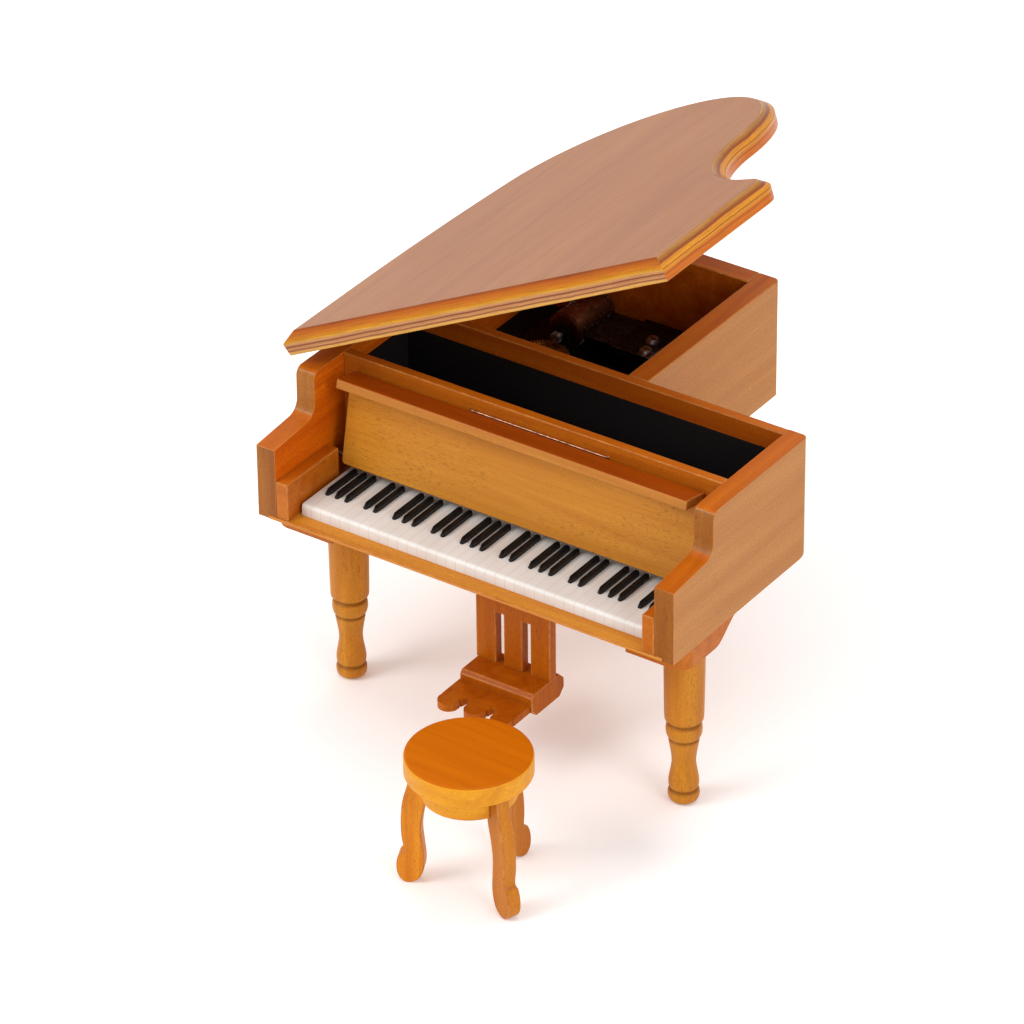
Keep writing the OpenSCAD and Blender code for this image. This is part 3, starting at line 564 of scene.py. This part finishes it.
white_keys()
black_keys()

# ---------------------------------------------------------------- lid

swing = next(j for j in frame["joints"] if j["name"] == "lid_swing")
hinge = Vector(swing["pos_m"])
LID_OPEN = math.radians(-swing["range_deg"][0])
LID_W, LID_Y = 163.5, 23.4
# The lid's lower edge lies this far in from the hinge line and above it
LID_IN, LID_UP = 1.45, 1.5
TAIL_C, TAIL_R, BENT_R, LOBE_R, SPINE_Y = Vector((61, 112)), 56, 49, 10, 40


def lid_outline():
    """The lid's edge as (x, y, outward x, outward y), in mm, from the front left corner round the treble
    side and the tail."""
    bent = Vector((TAIL_C.x + math.sqrt((TAIL_R + BENT_R) ** 2 - 16), TAIL_C.y + 4))
    lobe_x = LID_W - LOBE_R
    lobe = Vector((lobe_x, bent.y - math.sqrt((BENT_R + LOBE_R) ** 2 - (bent.x - lobe_x) ** 2)))
    spine_r = (TAIL_C.x ** 2 - TAIL_R ** 2 + (TAIL_C.y - SPINE_Y) ** 2) / (2 * (TAIL_C.x - TAIL_R))
    spine = Vector((spine_r, SPINE_Y))

    def heading(a, b):
        return math.atan2(b.y - a.y, b.x - a.x)

    def arc(c, r, a0, a1, n, side=1):
        return [(c.x + r * math.cos(a), c.y + r * math.sin(a), side * math.cos(a), side * math.sin(a))
                for a in (a0 + (a1 - a0) * i / n for i in range(n + 1))]

    pts = [(0, 0, -1, -1), (LID_W, 0, 1, -1)]
    pts += arc(lobe, LOBE_R, 0, heading(lobe, bent), 24)
    pts += arc(bent, BENT_R, heading(lobe, bent) + math.pi, heading(bent, TAIL_C) + 2 * math.pi, 40, -1)[1:]
    pts += arc(TAIL_C, TAIL_R, heading(TAIL_C, bent), heading(spine, TAIL_C), 90)[1:]
    pts += arc(spine, spine_r, heading(spine, TAIL_C), math.pi, 24)[1:]
    return pts


def lid():
    edge = [(0.85, 0), (0.6, 0.1), (0.5, 0.35), (0.24, 2.4), (0.02, 4.1), (0.0, 4.35), (0.12, 4.62),
            (0.45, 4.95), (3.3, 7.28), (3.6, 7.44), (4.0, 7.5)]
    outline = lid_outline()
    bm = bmesh.new()
    loft(bm, [[Vector(((x - d * nx) * MM, (y - d * ny) * MM, h * MM)) for x, y, nx, ny in outline]
              for d, h in edge])
    bmesh.ops.recalc_face_normals(bm, faces=bm.faces)
    for f in bm.faces:
        f.material_index = int(abs(f.normal.z) < 0.95 and abs(f.normal.x) > abs(f.normal.y))
    turn = Matrix.Rotation(-LID_OPEN, 4, "Y")
    place = Matrix.Translation((hinge.x, at(0, LID_Y, 0).y, hinge.z)) @ turn @ Matrix.Translation(
        (-LID_IN * MM, 0, LID_UP * MM))
    return new_piece("lid_plywood", bm, [LID, LID_SIDE], "lid", ["lid_board"], place, 30)


lid()

# ---------------------------------------------------------------- legs and stool

LEG_SHAPE = [(0.0, 3.6), (0.7, 4.6), (2.0, 5.1), (3.5, 5.12), (4.3, 4.8), (4.7, 4.35), (5.1, 4.6),
             (6.1, 4.95), (7.8, 4.95), (10, 4.65), (12.6, 4.2), (15, 3.97), (17.4, 4.12), (20, 4.5), (22.4, 4.92),
             (23.5, 5.0), (24.0, 4.65), (24.4, 4.95), (25.2, 5.6), (26.8, 5.93), (28.4, 5.9), (29.4, 5.55),
             (29.9, 5.05), (30.3, 4.95), (30.8, 5.5), (31.6, 6.15), (33.4, 6.45), (50, 6.7), (65, 6.85)]


def leg(node):
    low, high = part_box(node)
    foot = Matrix.Translation(((low.x + high.x) / 2, (low.y + high.y) / 2, 0))
    bm = bmesh.new()
    line = [(p[0], p[1]) for p in smooth_path(LEG_SHAPE, 5)]
    lathe(bm, [(0.0, 0.0), (0.0, 3.2)] + line + [(65, 0)], foot)
    return new_piece("turned_" + node, bm, [LEG], "case", [node], soft_angle=45)


for node in ("front_left_leg", "front_right_leg", "rear_leg"):
    leg(node)


def seat():
    low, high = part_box("stool_seat")
    top, foot, r = high.z / MM, low.z / MM, (high.x - low.x) / 2 / MM
    centre = Matrix.Translation(((low.x + high.x) / 2, (low.y + high.y) / 2, 0))
    bm = bmesh.new()
    lathe(bm, [(foot, 0), (foot, r - 0.8), (foot + 0.2, r - 0.25), (foot + 0.7, r), (top - 1.1, r),
               (top - 0.65, r - 0.1), (top - 0.3, r - 0.34)], centre, 128, 0)
    lathe(bm, [(top - 0.3, r - 0.34), (top - 0.06, r - 0.8), (top, r - 1.5), (top, r * 0.5), (top, 0)],
          centre, 128, 1)
    bmesh.ops.remove_doubles(bm, verts=bm.verts, dist=1e-7)
    return new_piece("stool_round_seat", bm, [LIT_SEAT_SIDE, SHADED_SEAT_TOP], "stool", ["stool_seat"])


seat()
refine("stool_apron", (LIT_SEAT_SIDE, EDGE_WEAR_AND_HIGHLIGHT), 0.4)
# The left leg takes the lit copy and the right and back legs the shaded copy: painted light and shade.
refine("stool_leg_left", (LIT_STOOL_LEG, EDGE_WEAR_AND_HIGHLIGHT), 0.4)
refine("stool_leg_right", (STOOL_LEG_SHADE, EDGE_WEAR_AND_HIGHLIGHT), 0.4)
refine("stool_leg_back", (STOOL_LEG_SHADE, EDGE_WEAR_AND_HIGHLIGHT), 0.4)

# ---------------------------------------------------------------- movement

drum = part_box("pinned_cylinder")
axis = Vector(((drum[0].x + drum[1].x) / 2, 0, (drum[0].z + drum[1].z) / 2))
ALONG_Y = Matrix.Rotation(-math.pi / 2, 4, "X")
TRACKS, PINS_PER_TRACK = 18, 9


def cylinder():
    start, end = drum[0].y, drum[1].y
    length = (end - start) / MM
    r = (drum[1].x - drum[0].x) / 2 / MM
    base = Matrix.Translation((axis.x, start, axis.z)) @ ALONG_Y
    bm = bmesh.new()
    lathe(bm, [(0, 0), (0, r - 1.0), (0.35, r - 0.95), (0.4, r - 0.15), (0.5, r), (length - 0.5, r),
               (length - 0.4, r - 0.15), (length - 0.35, r - 0.95), (length, r - 1.0), (length, 0)], base, 96)
    for track in range(TRACKS):
        y = 1.35 + track * (length - 2.7) / (TRACKS - 1)
        for _ in range(PINS_PER_TRACK):
            around = Matrix.Rotation(RNG.uniform(0, 2 * math.pi), 4, "Z")
            outward = Matrix.Translation(((r - 0.3) * MM, 0, 0)) @ Matrix.Rotation(math.pi / 2, 4, "Y")
            pin = base @ Matrix.Translation((0, 0, y * MM)) @ around @ outward
            lathe(bm, [(0, 0), (0, 0.14), (0.52, 0.13), (0.6, 0.08), (0.6, 0)], pin, 6, 1)
    return new_piece("pinned_barrel", bm, [SHADED_BRONZE, STEEL], "cylinder", ["pinned_cylinder"],
                     soft_angle=50)


cylinder()
refine("movement_bedplate", (IRON, IRON), 0.3)
refine("comb", (SHADED_COMB, STEEL), 0.06, segments=1)
refine("comb_screws", (STEEL, STEEL), 0.15, segments=2)
refine("governor_bracket", (BRASS, BRASS), 0.12, segments=2)
refine("winding_key", (STEEL, STEEL), 0.25, segments=2)
refine("key_cover_pins", (STEEL, STEEL), 0.2, segments=2)
refine("case_hinge_leaves", (BRASS, BRASS), 0.12, segments=2)
refine("lid_hinge_leaves", (BRASS, BRASS), 0.12, segments=2)


def dress(node, material):
    mesh = frame["nodes"][node].data
    mesh.materials.clear()
    mesh.materials.append(material)


for node, material in {
        "tray_lining": FLOCK, "bay_lining": FLOCK, "movement_board": BARE, "rest_wire": WIRE,
        "hinge_pins": STEEL, "lid_hinge_screws": BRASS, "case_hinge_screws": BRASS,
        "cylinder_arbor": STEEL, "spring_barrel": BRASS, "governor_wheel": BRASS, "air_brake": STEEL,
        "winding_stem": STEEL}.items():
    dress(node, material)

# ---------------------------------------------------------------- studio

floor_net = Net("studio_floor")
grain = floor_net.noise(floor_net.place((3, 3, 3)), 2)
floor_net.base(floor_net.mix(grain, (0.97, 0.97, 0.97), (0.95, 0.95, 0.95)))
floor_net.set(Roughness=0.9, Specular_IOR_Level=0.1, Emission_Color=(1, 1, 1, 1), Emission_Strength=0.1)
bm = bmesh.new()
bmesh.ops.create_grid(bm, x_segments=4, y_segments=4, size=6)
mesh = bpy.data.meshes.new("studio_floor")
bm.to_mesh(mesh)
bm.free()
mesh.materials.append(floor_net.mat)
floor = bpy.data.objects.new("studio_floor", mesh)
bpy.context.scene.collection.objects.link(floor)
floor.location.z = -0.0002

world = bpy.data.worlds.new("studio")
bpy.context.scene.world = world
world.use_nodes = True
world.node_tree.nodes["Background"].inputs[0].default_value = (1, 1, 1, 1)
world.node_tree.nodes["Background"].inputs[1].default_value = 0.75


def softbox(name, place, aim, size, power, colour=(1, 1, 1)):
    data = bpy.data.lights.new(name, "AREA")
    data.shape = "RECTANGLE"
    data.size, data.size_y = size
    data.energy = power
    data.color = colour
    ob = bpy.data.objects.new(name, data)
    bpy.context.scene.collection.objects.link(ob)
    ob.location = place
    ob.rotation_mode = "QUATERNION"
    ob.rotation_quaternion = (Vector(aim) - Vector(place)).to_track_quat("-Z", "Y")


softbox("key_light", (-0.9, -1.3, 1.3), (0, 0, 0.08), (0.9, 0.9), 16)
softbox("fill_light", (1.6, -0.5, 0.9), (0, 0, 0.08), (0.8, 0.8), 9)
softbox("top_light", (0.0, 0.5, 1.8), (0, 0, 0.0), (1.2, 1.2), 10)

bpy.context.scene.view_settings.view_transform = "Standard"

turn, tilt, roll = (math.radians(x) for x in (34.72, 32.11, -0.6))
back = Vector((math.sin(turn) * math.cos(tilt), -math.cos(turn) * math.cos(tilt), math.sin(tilt)))
right = Vector((math.cos(turn), math.sin(turn), 0))
up = back.cross(right)
side = right * math.cos(roll) + up * math.sin(roll)
head = up * math.cos(roll) - right * math.sin(roll)
cam_data = bpy.data.cameras.new("camera")
cam_data.lens = 217.8
cam_data.sensor_width = 36
cam_data.clip_start, cam_data.clip_end = 0.05, 50
camera = bpy.data.objects.new("camera", cam_data)
bpy.context.scene.collection.objects.link(camera)
camera.matrix_world = Matrix.Translation(at(83.23, 23.65, 90) + back * 1.96982) @ Matrix(
    (side, head, back)).transposed().to_4x4()
bpy.context.scene.camera = camera

bpy.context.view_layer.update()
